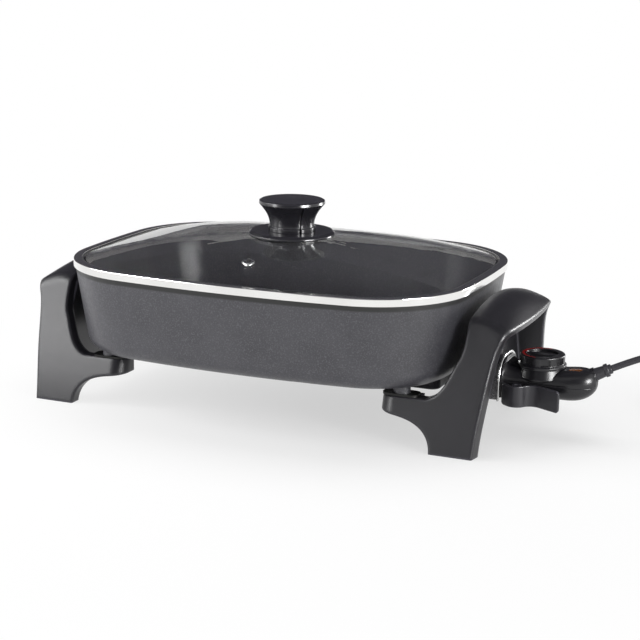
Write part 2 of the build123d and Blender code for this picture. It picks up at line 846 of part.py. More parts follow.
def pin_insulators():
    """Ceramic bushes that hold the terminal pins in the plate."""
    bushes = []
    for side in (-1, 1):
        y = side * terminal_half_pitch
        end_x = terminal_plate_x + terminal_plate_thickness + 2
        bush = rod_x(insulator_radius, terminal_plate_x - 2, end_x, y, element_z)
        bush += rod_x(insulator_radius + 1.2, terminal_plate_x - 4, terminal_plate_x, y, element_z)
        bush -= rod_x(terminal_radius + running_gap, element_end_x, guard_mouth_x, y, element_z)
        bushes.append(bush)
    return bushes


# ---------------------------------------------------------------- heat control
def control_sections(inset=0.0):
    """Sections of the heat control along x: place, half width, bottom, top, corner radius."""
    tail = control_tail_x
    wide = control_half_width
    low = control_bottom_z
    high = control_top_z
    rows = [
        (nose_end_x - 7, wide + 5.2, low + 1.2, high + 4.9, 13.0),
        (dial_x - 18, wide + 2.0, low + 0.4, high + 0.5, 12.0),
        (dial_x, wide + 0.6, low, high, 12.0),
        (dial_x + 20, wide + 0.6, low, high + 0.3, 12.5),
        (tail - 14, wide - 1.0, low + 1.2, high + 2.3, 13.0),
        (tail - 4, wide - 6.0, low + 6.4, high + 0.2, 10.0),
        (tail, wide - 13.5, low + 13.0, high - 5.0, 3.5),
    ]
    return [(x, w - inset, a + inset, b - inset, max(r - inset, 2.0)) for x, w, a, b, r in rows]


def control_loft(rows):
    """Smooth body through rounded sections."""
    sections = []
    for x, half_width, low, high, radius in rows:
        section = RectangleRounded(2 * half_width, high - low, radius)
        sections.append(on_x(x, 0, (low + high) / 2) * section)
    return loft(sections, ruled=False)


def control_body():
    """Outer form of the heat control: arched nose, waist under the dial and a round tail."""
    body = control_loft(control_sections())
    body += guard_form(-guard_wall - nose_gap, nose_start_x, nose_end_x - 5.5)
    foot_z = dial_bottom_z - moving_gap
    low = Pos(dial_x, 0, foot_z - dial_foot_height - 4) * Circle(control_half_width + 0.4)
    wide = Pos(dial_x, 0, foot_z - dial_foot_height) * Circle(dial_skirt_radius + dial_foot_flare)
    high = Pos(dial_x, 0, foot_z) * Circle(dial_skirt_radius - 1.6)
    body += loft([low, wide], ruled=True) + loft([wide, high], ruled=True)
    return body + relief_rod(relief_root_radius + 0.2, -relief_root, -relief_socket)


def control_cavity():
    """Space inside the heat control."""
    rows = control_sections(control_wall)[:-1]
    cavity = control_loft(rows)
    cavity += guard_form(-guard_wall - nose_gap - control_wall, nose_start_x + control_wall, nose_end_x - 6.6)
    dome_space = rod_z(dial_skirt_radius - 6, control_top_z - 8, control_top_z - control_wall, dial_x)
    return cavity + dome_space


def relief_plane():
    """Plane at the strain relief's outer end, facing along the cord."""
    return Plane(origin=relief_end, z_dir=relief_direction)


def relief_rod(radius, start, end):
    """Cylinder on the strain relief's axis, measured from its outer end."""
    plane = relief_plane()
    return extrude(plane.offset(start) * Circle(radius), end - start)


def relief_cone(grow=0.0):
    """Tapered sleeve of the strain relief, grown outwards."""
    plane = relief_plane()
    root = plane.offset(-relief_root) * Circle(relief_root_radius + grow)
    end = plane.offset(-relief_nose_length - relief_collar_length) * Circle(relief_radius + grow)
    return loft([root, end], ruled=True)


def lens_form(grow=0.0):
    """Block of the indicator lens."""
    slot = SlotOverall(lens_length + 2 * grow, lens_width + 2 * grow)
    return extrude(Pos(lens_x, lens_y, lens_bottom_z) * slot, 20)


def ear():
    """Lug on the heat control that carries the lever's pin."""
    low = lever_bottom_z + lever_knuckle_height + moving_gap
    high = low + lever_ear_height
    lug = rod_z(lever_ear_radius, low, high, lever_pin_x, lever_pin_y)
    lug += block(
        (lever_pin_x - lever_ear_radius, lever_pin_y, low),
        (lever_pin_x + lever_ear_radius, -control_half_width + 4, high),
    )
    return lug - rod_z(lever_pin_radius + running_gap, low - 1, high + 1, lever_pin_x, lever_pin_y)


def control_shells():
    """Upper and lower shells of the heat control, and the indicator lens."""
    body = control_body()
    lens = lens_form() & body
    shell = body - control_cavity()
    shell -= relief_cone(running_gap)
    for side in (-1, 1):
        y = side * terminal_half_pitch
        shell -= rod_x(4.0 + running_gap, nose_start_x - 1, nose_start_x + 6, y, element_z)
    shell -= rod_x(sensor_radius + running_gap, nose_start_x - 1, nose_start_x + 6, 0, sensor_z)
    shell -= rod_z(dial_shaft_radius + running_gap, control_top_z - 10, dial_bottom_z, dial_x)
    above = block((150, -80, control_split_z), (400, 80, 120))
    upper = shell & above
    upper -= lens_form(flat_gap)
    lower = shell - block((150, -80, control_split_z - flat_gap), (400, 80, 120))
    lower += ear() - control_cavity()
    return upper, lower, lens


def sensor_rod():
    """Temperature probe that slides into the pan's well."""
    rod = rod_x(sensor_radius, sensor_tip_x, nose_start_x + 12, 0, sensor_z)
    return fillet(rod.faces().sort_by(Axis.X)[0].edges(), sensor_radius * 0.8)


def contact_sleeves():
    """Spring sockets that take the terminal pins."""
    sleeves = []
    for side in (-1, 1):
        y = side * terminal_half_pitch
        sleeve = rod_x(4.0, nose_start_x + 0.6, nose_start_x + 16, y, element_z)
        sleeve -= rod_x(terminal_radius + running_gap, nose_start_x, nose_start_x + 14, y, element_z)
        sleeves.append(sleeve)
    return sleeves


def thermostat_switch():
    """Switch block under the dial, bored for the dial's shaft."""
    top = control_top_z - control_wall - 4
    low = (dial_x - switch_length / 2, -switch_width / 2, top - switch_height)
    high = (dial_x + switch_length / 2, switch_width / 2, top)
    switch = block(low, high)
    switch = chamfer(switch.edges().filter_by(Axis.Z), 2)
    post = rod_z(5.5, top, control_top_z - control_wall - flat_gap, dial_x)
    return switch + post - rod_z(dial_shaft_radius + running_gap, top - 9, control_top_z, dial_x)


def dial_shaft():
    """Shaft between the dial and the switch."""
    top = control_top_z - control_wall - 4
    return rod_z(dial_shaft_radius, top - 8.5, dial_bottom_z + 5, dial_x)


def temperature_dial():
    """Dial with a skirt, grip windows, a recess crossed by a bar and a groove for the coloured arc."""
    top_z = dial_bottom_z + dial_height
    skirt_z = dial_bottom_z + dial_skirt_height
    skirt = rod_z(dial_skirt_radius, dial_bottom_z, skirt_z, dial_x)
    skirt = chamfer(skirt.faces().sort_by(Axis.Z)[-1].edges(), 1.2)
    cap = rod_z(dial_top_radius, skirt_z, top_z, dial_x)
    cap = fillet(cap.faces().sort_by(Axis.Z)[-1].edges(), 1.2)
    recess = rod_z(dial_recess_radius, top_z - dial_recess_depth, top_z + 1, dial_x)
    bar = block(
        (-dial_recess_radius - 1, -dial_bar_width / 2, top_z - dial_recess_depth - 1),
        (dial_recess_radius + 1, dial_bar_width / 2, top_z - 0.6),
    )
    bar = fillet(bar.edges().filter_by(Axis.X).sort_by(Axis.Z)[-2:], 1.0)
    cap -= recess - Pos(dial_x, 0, 0) * bar
    grip = block(
        (dial_top_radius - dial_grip_depth, -dial_grip_width / 2, skirt_z + 0.6),
        (dial_top_radius + 5, dial_grip_width / 2, top_z - 2.2),
    )
    for index in range(dial_grips):
        cap -= Pos(dial_x, 0, 0) * Rot(0, 0, 360 / dial_grips * (index + 0.5)) * grip
    dial = skirt + cap - dial_ring_form(flat_gap)
    return dial - rod_z(dial_shaft_radius + flat_gap, dial_bottom_z - 1, dial_bottom_z + 5 + flat_gap, dial_x)


def dial_ring_form(grow=0.0):
    """Coloured arc let into the dial's rim, thinning out at both ends."""
    top_z = dial_bottom_z + dial_height
    start, end = radians(dial_ring_start), radians(dial_ring_end)
    middle = (start + end) / 2
    outer = dial_ring_radius + grow
    inner = dial_ring_radius - dial_ring_width - grow
    neck = dial_ring_radius - dial_ring_width / 3 - grow
    with BuildSketch(Plane.XY.offset(top_z - dial_ring_depth - grow)) as sketch:
        with BuildLine():
            ends = [(cos(a), sin(a)) for a in (start, middle, end)]
            outside_points = [(outer * x, outer * y) for x, y in ends]
            ThreePointArc(*outside_points)
            inside_points = [(r * x, r * y) for r, (x, y) in zip((neck, inner, neck), ends)]
            ThreePointArc(*inside_points)
            Line(outside_points[0], inside_points[0])
            Line(outside_points[2], inside_points[2])
        make_face()
    return Pos(dial_x, 0, 0) * extrude(sketch.sketch, dial_ring_depth + 2 * grow)


def dial_pointer():
    """Round marker on the dial's rim, at the off position."""
    top_z = dial_bottom_z + dial_height
    marker_x = dial_x - dial_recess_radius - dial_marker_radius + 0.3
    marker = rod_z(dial_marker_radius, top_z, top_z + 0.6, marker_x)
    return fillet(marker.faces().sort_by(Axis.Z)[-1].edges(), 0.4)


def lever_line():
    """Line of the release lever, seen from above: a bulge at the pin, a waist and a paddle."""
    return FilletPolyline(
        (lever_pin_x - 12.5, lever_pin_y + 1.0),
        (lever_pin_x + 1, lever_pin_y - 9.6),
        (lever_pin_x + 12, lever_pin_y + 8),
        (lever_pin_x + 40.5, lever_pin_y - 6),
        radius=[9, 11.5],
    )


def release_lever():
    """Squeeze lever beside the nose, with two knuckles on its pin."""
    top_z = lever_bottom_z + lever_height
    skin = make_face(offset(lever_line(), lever_thickness / 2, side=Side.BOTH, kind=Kind.TANGENT))
    lever = extrude(Pos(0, 0, lever_bottom_z) * skin, lever_height, dir=(0, 0, 1))
    ends = lever.faces().filter_by(Axis.Z)
    lever = fillet(ends.edges(), lever_edge_radius)
    width = lever.bounding_box().size.X
    middle_x = lever.bounding_box().center().X
    form = RectangleRounded(width, lever_height, lever_corner_radius)
    lever &= extrude(Plane.XZ * Pos(middle_x, lever_bottom_z + lever_height / 2) * form, 80, both=True)
    for low in (lever_bottom_z, top_z - lever_knuckle_height):
        high = low + lever_knuckle_height
        lever += rod_z(lever_knuckle_radius, low, high, lever_pin_x, lever_pin_y)
        lever += block((lever_pin_x - 3, lever_pin_y - 5, low), (lever_pin_x + 3, lever_pin_y, high))
        lever -= rod_z(lever_pin_radius + running_gap, low - 1, high + 1, lever_pin_x, lever_pin_y)
    return lever


def lever_pin():
    """Steel pin of the release lever."""
    top_z = lever_bottom_z + lever_height
    return rod_z(lever_pin_radius, lever_bottom_z + 0.3, top_z - 0.3, lever_pin_x, lever_pin_y)


def lever_spring():
    """Torsion spring round the lever's pin."""
    ear_top = lever_bottom_z + lever_knuckle_height + moving_gap + lever_ear_height
    wire = lever_spring_wire
    pitch = 2 * wire + 0.1
    radius = lever_pin_radius + wire + 0.3
    turns = Helix(pitch, pitch * lever_spring_turns, radius)
    path = Pos(lever_pin_x, lever_pin_y, ear_top + wire + 0.1) * turns
    section = Plane(origin=path @ 0, z_dir=path % 0) * Circle(wire)
    return sweep(section, path=path, is_frenet=True)


def strain_relief():
    """Tapered sleeve that holds the cord, with a groove at its root and a collar near its end."""
    collar_start = -relief_nose_length - relief_collar_length
    collar = relief_rod(relief_collar_radius, collar_start, -relief_nose_length)
    collar = fillet(collar.edges().filter_by(GeomType.CIRCLE), relief_groove)
    nose = relief_rod(cord_radius + 1.4, -relief_nose_length - 1, 0)
    nose = fillet(nose.edges().filter_by(GeomType.CIRCLE).sort_by(Axis.X)[-1], relief_groove)
    return relief_cone() + collar + nose


# ---------------------------------------------------------------- cord and plug
def corner_radii(points):
    """Radius of each corner's arc on a route, as large as its two runs allow."""
    radii = []
    for before, corner, after in zip(points, points[1:], points[2:]):
        run_in = Vector(corner) - Vector(before)
        run_out = Vector(after) - Vector(corner)
        turn = radians(run_in.get_angle(run_out))
        radii.append(0.45 * min(run_in.length, run_out.length) / tan(turn / 2))
    return radii


def tube(points, name):
    """Cord along straight runs joined by tangent arcs."""
    radii = corner_radii(points)
    path = FilletPolyline(*points, radius=radii)
    section = Plane(origin=path @ 0, z_dir=path % 0) * Circle(cord_radius)
    solid = sweep(section, path=path)
    expected = pi * cord_radius**2 * path.length
    print(f"{name}: length {path.length:.0f}, radii {[round(r) for r in radii]},"
          f" volume ratio {solid.volume / expected:.4f}")
    return solid


def coil_slot(turns):
    """Radius and height of the cord's centre in the coil, after so many turns."""
    angle = -pi / 2 + pi / coil_slots - 2 * pi * turns / coil_slots
    radius = coil_radius + coil_slot_radius * cos(angle)
    return radius, coil_z + coil_slot_radius * sin(angle)


def lead_points():
    """Route from the strain relief down to the coil."""
    start = Vector(*relief_end)
    radius, height = coil_slot(0)
    end_x = coil_x + radius
    return [
        tuple(start),
        tuple(start + relief_direction * 18),
        (relief_end[0] + 34.0, 15.8, 80.2),
        (relief_end[0] + 53.5, 22.5, 80.5),
        (relief_end[0] + 72.0, 31.0, 71.5),
        (relief_end[0] + 86.5, 42.5, 54.5),
        (relief_end[0] + 96.0, 57.0, 36.0),
        (relief_end[0] + 101.5, 74.0, 20.0),
        (end_x, 93.0, 9.5),
        (end_x, coil_y - 18, height + 0.7),
        (end_x, coil_y, height),
    ]


def tail_points():
    """Route from the coil to the plug."""
    radius, height = coil_slot(coil_turns)
    start_x = coil_x + radius
    return [
        (start_x, coil_y, height),
        (start_x, coil_y + 18, height),
        (start_x + 3.0, coil_y + 38, height + 1.5),
        (start_x + 10.0, coil_y + 57, plug_flat),
        (start_x + 20.0, coil_y + 74, plug_flat),
    ]


def cord():
    """The stretches of cord that are not coiled."""
    return [tube(lead_points(), "lead"), tube(tail_points(), "tail")]


def cord_coil():
    """Outer form of the wound coil."""
    print(f"coil: {coil_turns} turns, about {2 * pi * coil_radius * coil_turns:.0f}")
    return Pos(coil_x, coil_y, coil_z) * Torus(coil_radius, coil_section_radius)


def cord_tie():
    """Two straps round the wound coil, each with a tab, that the coil rests on."""
    ties = []
    for side in (-1, 1):
        place = on_x(coil_x - tie_width / 2, coil_y + side * coil_radius, tie_z)
        outer = Circle(tie_inner_radius + tie_thickness)
        tab = Pos(side * (tie_inner_radius + tie_tab_length / 2), 0) * Rectangle(tie_tab_length, tie_thickness)
        strap = place * (outer + tab - Circle(tie_inner_radius))
        ties.append(extrude(strap, tie_width))
    return ties


def plug_frame():
    """Plane at the plug's back, facing the way the plug points."""
    end = Vector(*tail_points()[-1])
    before = Vector(*tail_points()[-2])
    return Plane(origin=end, x_dir=(0, 0, 1), z_dir=(end - before).normalized())


def plug_body():
    """Two-pin earthed plug, flattened on two sides."""
    plane = plug_frame()
    neck = extrude(plane * Circle(cord_radius + 2.4), 16)
    form = extrude(plane.offset(14) * Circle(plug_radius), plug_length - 14)
    form = fillet(form.faces().sort_by(Axis(plane.origin, plane.z_dir))[0].edges(), 7)
    form &= plane * Pos(0, 0, 30) * Box(2 * plug_flat, 2 * plug_radius + 2, 60)
    return neck + form


def plug_pins():
    """The plug's two round pins."""
    plane = plug_frame()
    pins = []
    for side in (-1, 1):
        start = plane * Pos(0, side * plug_pin_half_pitch, plug_length)
        pin = start * Pos(0, 0, plug_pin_length / 2) * Cylinder(plug_pin_radius, plug_pin_length)
        pins.append(pin)
    return pins


def plug_earth_clips():
    """Earth contacts on the plug's flats."""
    plane = plug_frame()
    clips = []
    for side in (-1, 1):
        clip = plane * Pos(side * (plug_flat - 1.5), 0, plug_length + 0.6) * Box(1.5, 7, 1.2)
        clips.append(clip)
    return clips


# ---------------------------------------------------------------- all nodes
def main():
    save("lid_ring", lid_ring())
    save("lid_glass", lid_glass())
    save("rim_seal", rim_seal())
    save("vent_grommet", vent_grommet())
    save("knob_base", knob_base())
    save("lid_knob", lid_knob())
    save("knob_screw", knob_screw())
    save("knob_washer", knob_washer())
    save("pan", pan())
    save("heating_element", heating_element())
    save("terminal_pins", *terminal_pins())
    left, right = handles()
    save("left_handle", left)
    save("right_handle", right)
    save("mounting_plates", *mounting_plates())
    save("leg_screws", *leg_screws())
    save("inlet_guard", inlet_guard())
    save("guard_screws", *guard_screws())
    save("terminal_plate", terminal_plate())
    save("pin_insulators", *pin_insulators())
    upper, lower, lens = control_shells()
    save("control_upper_shell", upper)
    save("control_lower_shell", lower)
    save("indicator_lens", lens)
    save("sensor_rod", sensor_rod())
    save("contact_sleeves", *contact_sleeves())
    save("thermostat_switch", thermostat_switch())
    save("dial_shaft", dial_shaft())
    save("temperature_dial", temperature_dial())
    save("dial_ring", dial_ring_form())
    save("dial_pointer", dial_pointer())
    save("release_lever", release_lever())
    save("lever_pin", lever_pin())
    save("lever_spring", lever_spring())
    save("strain_relief", strain_relief())
    save("cord", *cord())
    save("cord_coil", cord_coil())
    save("cord_tie", *cord_tie())
    save("plug_body", plug_body())
    save("plug_pins", *plug_pins())
    save("plug_earth_clips", *plug_earth_clips())


main()
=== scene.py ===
"""Electric skillet: finishes, mains cord, floor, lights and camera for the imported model."""

import math

import bpy
from mathutils import Matrix, Vector


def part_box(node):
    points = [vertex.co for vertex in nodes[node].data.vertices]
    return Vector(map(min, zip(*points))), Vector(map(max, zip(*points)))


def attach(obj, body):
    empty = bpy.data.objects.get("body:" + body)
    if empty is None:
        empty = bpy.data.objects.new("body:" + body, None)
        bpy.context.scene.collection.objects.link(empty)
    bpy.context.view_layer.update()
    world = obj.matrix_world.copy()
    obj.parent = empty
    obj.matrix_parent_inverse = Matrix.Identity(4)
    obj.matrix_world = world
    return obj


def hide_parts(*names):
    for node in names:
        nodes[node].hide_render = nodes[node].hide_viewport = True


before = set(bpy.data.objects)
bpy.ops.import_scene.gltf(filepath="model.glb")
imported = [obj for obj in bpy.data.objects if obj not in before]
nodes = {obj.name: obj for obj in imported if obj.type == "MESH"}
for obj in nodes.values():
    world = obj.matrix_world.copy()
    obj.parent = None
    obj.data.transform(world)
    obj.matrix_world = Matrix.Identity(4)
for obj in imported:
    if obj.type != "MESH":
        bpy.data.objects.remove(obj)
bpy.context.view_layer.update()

pan_centre = Vector((-0.0370586, 0.0, 0.0))      # the middle of the pan, in the shared frame


def add_object(name, data):
    """A new object in the scene's own collection."""
    made = bpy.data.objects.new(name, data)
    bpy.context.scene.collection.objects.link(made)
    return made


# ------------------------------------------------------------------ camera

def make_camera(place, azimuth, elevation, roll, lens, sensor, reach):
    """A camera that looks back from this azimuth and elevation, turned by its roll, in degrees.

    The lens and the sensor are in millimetres, and the reach of its sight in metres.
    """
    a, e, r = (math.radians(value) for value in (azimuth, elevation, roll))
    back = Vector((math.sin(a) * math.cos(e), -math.cos(a) * math.cos(e), math.sin(e)))
    right = Vector((math.cos(a), math.sin(a), 0.0))
    up = back.cross(right)
    turned = right * math.cos(r) + up * math.sin(r)
    axes = Matrix((turned, back.cross(turned), back)).transposed()
    camera = add_object("camera", bpy.data.cameras.new("camera"))
    camera.data.lens = lens
    camera.data.sensor_width = sensor
    camera.data.clip_end = reach
    camera.matrix_world = Matrix.Translation(place) @ axes.to_4x4()
    bpy.context.scene.camera = camera


make_camera(
    place=Vector((0.60383, -1.43685, 0.46491)),
    azimuth=23.008,
    elevation=13.78,
    roll=0.774,
    lens=93.12,
    sensor=36.0,
    reach=50.0,
)


# -------------------------------------------------------------------- cord

cord_radius = 0.0031
coil_centre = Vector((0.382, 0.130, 0.009724))
coil_radius = 0.037
coil_turns = 4
bundle_radius = 0.005274       # from the middle of the bundle of turns to the middle of the cord
bundle_places = 5              # round the bundle: each turn moves on by one of them
points_per_turn = 20

# Both runs are in pan coordinates, like the coil between them.
lead_points = [
    (0.31750, 0.00650, 0.06630),
    (0.33338, 0.01076, 0.07362),
    (0.3515, 0.0158, 0.0802),
    (0.3710, 0.0225, 0.0805),
    (0.3895, 0.0310, 0.0715),
    (0.4040, 0.0425, 0.0545),
    (0.4135, 0.0570, 0.0360),
    (0.4190, 0.0740, 0.0200),
    (0.4221, 0.0930, 0.0095),
    (0.4221, 0.1120, 0.0062),
]
tail_points = [
    (0.4240, 0.1480, 0.0114),
    (0.4270, 0.1680, 0.0129),
    (0.4340, 0.1870, 0.0145),
    (0.4440, 0.2040, 0.0145),
]


def coil_point(turns):
    """The point of the coil after this number of turns, a little wide because NURBS cut corners."""
    turn = 2 * math.pi * turns
    place = -math.pi / 2 + math.pi / bundle_places - 2 * math.pi * turns / bundle_places
    out = coil_radius + bundle_radius * math.cos(place)
    out /= math.cos(math.pi / points_per_turn)
    height = bundle_radius * math.sin(place)
    return coil_centre + Vector((out * math.cos(turn), out * math.sin(turn), height))


def make_cord():
    """The mains lead, from the strain relief down to its tied coil and on to the plug."""
    steps = coil_turns * points_per_turn
    route = [Vector(point) for point in lead_points]
    route += [coil_point(step / points_per_turn) for step in range(steps + 1)]
    route += [Vector(point) for point in tail_points]
    curve = bpy.data.curves.new("mains_cord", "CURVE")
    curve.dimensions = "3D"
    line = curve.splines.new("NURBS")
    line.points.add(len(route) - 1)
    for control, point in zip(line.points, route):
        control.co = (*(point + pan_centre), 1.0)
        control.radius = cord_radius
    line.order_u = 3
    line.use_endpoint_u = True
    line.resolution_u = 6
    curve.bevel_depth = 1.0                      # times the radius at each point
    curve.bevel_resolution = 6
    curve.use_fill_caps = True
    cord = add_object("mains_cord", curve)
    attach(cord, "control")
    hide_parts("cord", "cord_coil")
    return cord


cord = make_cord()


# ------------------------------------------------------------ shader nodes

mix_colours = (6, 7)           # the Mix node's two inputs for colours
mix_colour_result = 2          # and its output for one


def new_material(name, colour, roughness, **sockets):
    """A material and its shader, set to plain values. A socket is named with _ for a space."""
    material = bpy.data.materials.new(name)
    material.use_nodes = True
    shader = material.node_tree.nodes["Principled BSDF"]
    values = {"Base_Color": (*colour, 1.0), "Roughness": roughness, **sockets}
    for socket, value in values.items():
        shader.inputs[socket.replace("_", " ")].default_value = value
    return material, shader


def feed(tree, socket, value):
    """Links a socket to another node's output, or sets it to a plain value."""
    if isinstance(value, bpy.types.NodeSocket):
        tree.links.new(value, socket)
    else:
        socket.default_value = value


def put(tree, kind, **inputs):
    """A new node with these inputs, sockets or plain values, named with _ for a space."""
    node = tree.nodes.new(kind)
    for name, value in inputs.items():
        feed(tree, node.inputs[name.replace("_", " ")], value)
    return node


def work_out(tree, operation, one, other, kind="ShaderNodeMath"):
    """What a Math node, or else a Vector Math node, gives for two sockets or plain values."""
    node = tree.nodes.new(kind)
    node.operation = operation
    feed(tree, node.inputs[0], one)
    feed(tree, node.inputs[1], other)
    return node.outputs["Value"]


def spread(tree, value, low, high, to_low=0.0, to_high=1.0, shape="LINEAR"):
    """The value, carried over from low and high to to_low and to_high, and held between them."""
    node = put(
        tree,
        "ShaderNodeMapRange",
        Value=value,
        From_Min=low,
        From_Max=high,
        To_Min=to_low,
        To_Max=to_high,
    )
    node.interpolation_type = shape
    return node.outputs["Result"]


# ---------------------------------------------------------------- finishes

class Finish:
    """A procedural material, built up from textures in the object's own metres."""

    edge_samples = 8
    edge_turn = (0.995, 0.88)      # cosines of how far an edge turns its normal: no painted highlight, full painted highlight
    inward_turn = (0.0, -0.06)     # metres along the normal from the middle: outside, inside
    usual_noise = (0.3, 0.7)       # the range in which a noise lies for the most part
    usual_sum = (0.7, 1.3)         # and that of two noises added up

    def __init__(self, name, colour, roughness, **sockets):
        self.material, self.shader = new_material(name, colour, roughness, **sockets)
        self.tree = self.material.node_tree
        spot = self.tree.nodes.new("ShaderNodeTexCoord")
        self.where = spot.outputs["Object"]
        self.facing = spot.outputs["Normal"]
        self.normal = None

    def noise(self, size, detail=3.0, stretch=(1, 1, 1)):
        """Cloudy noise in patches about size metres across, squeezed on an axis by its stretch."""
        spot = put(self.tree, "ShaderNodeMapping", Vector=self.where, Scale=stretch)
        place = spot.outputs["Vector"]
        made = put(self.tree, "ShaderNodeTexNoise", Vector=place, Scale=1 / size, Detail=detail)
        return made.outputs["Fac"]

    def cells(self, size):
        """Distance from the middle of scattered cells about size metres across."""
        made = put(self.tree, "ShaderNodeTexVoronoi", Vector=self.where, Scale=1 / size)
        return made.outputs["Distance"]

    def height(self):
        """The surface's own Z, in metres."""
        return put(self.tree, "ShaderNodeSeparateXYZ", Vector=self.where).outputs["Z"]

    def ramp(self, value, low, high, to_low=0.0, to_high=1.0):
        return spread(self.tree, value, low, high, to_low, to_high)

    def cloud(self, size, detail=3.0, stretch=(1, 1, 1), to_low=0.0, to_high=1.0):
        """Noise that is spread over the whole range from to_low to to_high."""
        return self.ramp(self.noise(size, detail, stretch), *self.usual_noise, to_low, to_high)

    def sum(self, one, other):
        return work_out(self.tree, "ADD", one, other)

    def dot(self, one, other):
        return work_out(self.tree, "DOT_PRODUCT", one, other, "ShaderNodeVectorMath")

    def mix(self, share, dark, light):
        """A colour between dark and light, which may be sockets or colours."""
        made = self.tree.nodes.new("ShaderNodeMix")
        made.data_type = "RGBA"
        self.tree.links.new(share, made.inputs[0])
        for place, value in zip(mix_colours, (dark, light)):
            plain = not isinstance(value, bpy.types.NodeSocket)
            feed(self.tree, made.inputs[place], (*value, 1.0) if plain else value)
        return made.outputs[mix_colour_result]

    def drive(self, socket, value):
        """Lets a texture drive one of the shader's sockets."""
        self.tree.links.new(value, self.shader.inputs[socket])

    def soft_edges(self, radius):
        """Shades the edges as if they had this radius, before any bump. Gives 1 on the edges."""
        made = put(self.tree, "ShaderNodeBevel", Radius=radius)
        made.samples = self.edge_samples
        self.normal = made.outputs["Normal"]
        plain = self.tree.nodes.new("ShaderNodeNewGeometry").outputs["Normal"]
        return self.ramp(self.dot(self.normal, plain), *self.edge_turn)

    def inward(self):
        """1 where the surface faces the object's middle, and 0 where it faces out or up."""
        return self.ramp(self.dot(self.facing, self.where), *self.inward_turn)

    def bump(self, height, depth):
        """Raises the surface by height times depth metres, on top of any earlier bump."""
        made = put(self.tree, "ShaderNodeBump", Height=height, Distance=depth)
        if self.normal is not None:
            self.tree.links.new(self.normal, made.inputs["Normal"])
        self.normal = made.outputs["Normal"]
        self.drive("Normal", self.normal)


def pan_coating(ring_foot):
    """Graphite non-stick coating with fine pale specks, painted black as shade above the foot of
    the lid's ring.
    """
    shadow_depth = 0.0016
    made = Finish("pan_coating", (0.045, 0.046, 0.048), 0.4, Coat_Weight=0.25, Coat_Roughness=0.3)
    base = made.mix(made.cloud(0.03, 4.0), (0.042, 0.041, 0.049), (0.058, 0.057, 0.067))
    fine = made.ramp(made.noise(0.0013, 2.0), 0.5, 0.68)
    base = made.mix(fine, base, (0.088, 0.088, 0.1))
    specks = made.ramp(made.cells(0.0021), 0.06, 0.2, 1.0, 0.0)
    base = made.mix(specks, base, (0.076, 0.077, 0.088))
    # painted shade: the coating turns black from the foot of the lid's ring up, standing in for the
    # shadow under the ring
    painted_shadow_under_ring = made.ramp(made.height(), ring_foot, ring_foot + shadow_depth)
    made.drive("Base Color", made.mix(painted_shadow_under_ring, base, (0.006, 0.006, 0.006)))
    grain = made.cloud(0.004, to_low=0.34, to_high=0.5)
    inner_roughness = 0.3
    made.drive("Roughness", made.ramp(made.inward(), 0.0, 1.0, grain, inner_roughness))
    made.bump(made.noise(0.0012, 2.0), 0.00003)
    made.bump(specks, 0.000012)
    return made


def polished_steel():
    """Stainless sheet, polished along the rim and duller on the inside, where its paler colour is
    painted light, standing in for lamp light under the lid glass.
    """
    made = Finish("polished_steel", (0.86, 0.855, 0.84), 0.12, Metallic=1.0)
    lines = made.noise(0.012, stretch=(1, 1, 90))
    haze = made.noise(0.05)
    inward = made.inward()
    polish = made.ramp(made.sum(lines, haze), *made.usual_sum, 0.06, 0.14)
    made.drive("Roughness", made.sum(polish, made.ramp(inward, 0.0, 1.0, 0.0, 0.4)))
    made.drive("Metallic", made.ramp(inward, 0.0, 1.0, 1.0, 0.5))
    sheet = made.mix(made.ramp(haze, 0.35, 0.65), (0.82, 0.815, 0.8), (0.88, 0.875, 0.86))
    # painted light: the inside is made paler to stand in for lamp light that the lid glass keeps
    # off it
    made.drive("Base Color", made.mix(inward, sheet, (0.97, 0.95, 0.91)))
    made.bump(lines, 0.000004)
    return made


def bright_steel(name="bright_steel", tone=0.62, rough=0.26):
    """Plain drawn or pressed steel with faint scuffs."""
    plain = (tone, tone, tone * 0.98)
    made = Finish(name, plain, rough, Metallic=1.0)
    scuffs = made.noise(0.002, 4.0, stretch=(1, 1, 6))
    made.drive("Roughness", made.ramp(scuffs, *made.usual_noise, rough - 0.06, rough + 0.1))
    made.drive("Base Color", made.mix(made.cloud(0.012), (tone * 0.88,) * 3, plain))
    made.bump(scuffs, 0.00001)
    return made


def lid_glass():
    """Clear tempered glass."""
    made = Finish("lid_glass", (0.985, 0.99, 0.988), 0.0, Transmission_Weight=1.0, IOR=1.47)
    made.drive("Roughness", made.ramp(made.noise(0.05, 2.0), 0.55, 0.8, 0.0, 0.008))
    made.bump(made.noise(0.12, 1.0), 0.00002)
    return made


def amber_lens():
    """Amber indicator lens, ribbed inside."""
    made = Finish("amber_lens", (0.3, 0.09, 0.02), 0.12, Transmission_Weight=0.55, IOR=1.49)
    ribs = put(made.tree, "ShaderNodeTexWave", Vector=made.where, Scale=190.0, Distortion=0.4)
    ribs.bands_direction = "Y"
    ribbing = ribs.outputs["Fac"]
    made.drive("Base Color", made.mix(ribbing, (0.16, 0.05, 0.012), (0.4, 0.13, 0.03)))
    made.drive("Roughness", made.cloud(0.002, to_low=0.08, to_high=0.18))
    made.bump(ribbing, 0.00008)
    return made


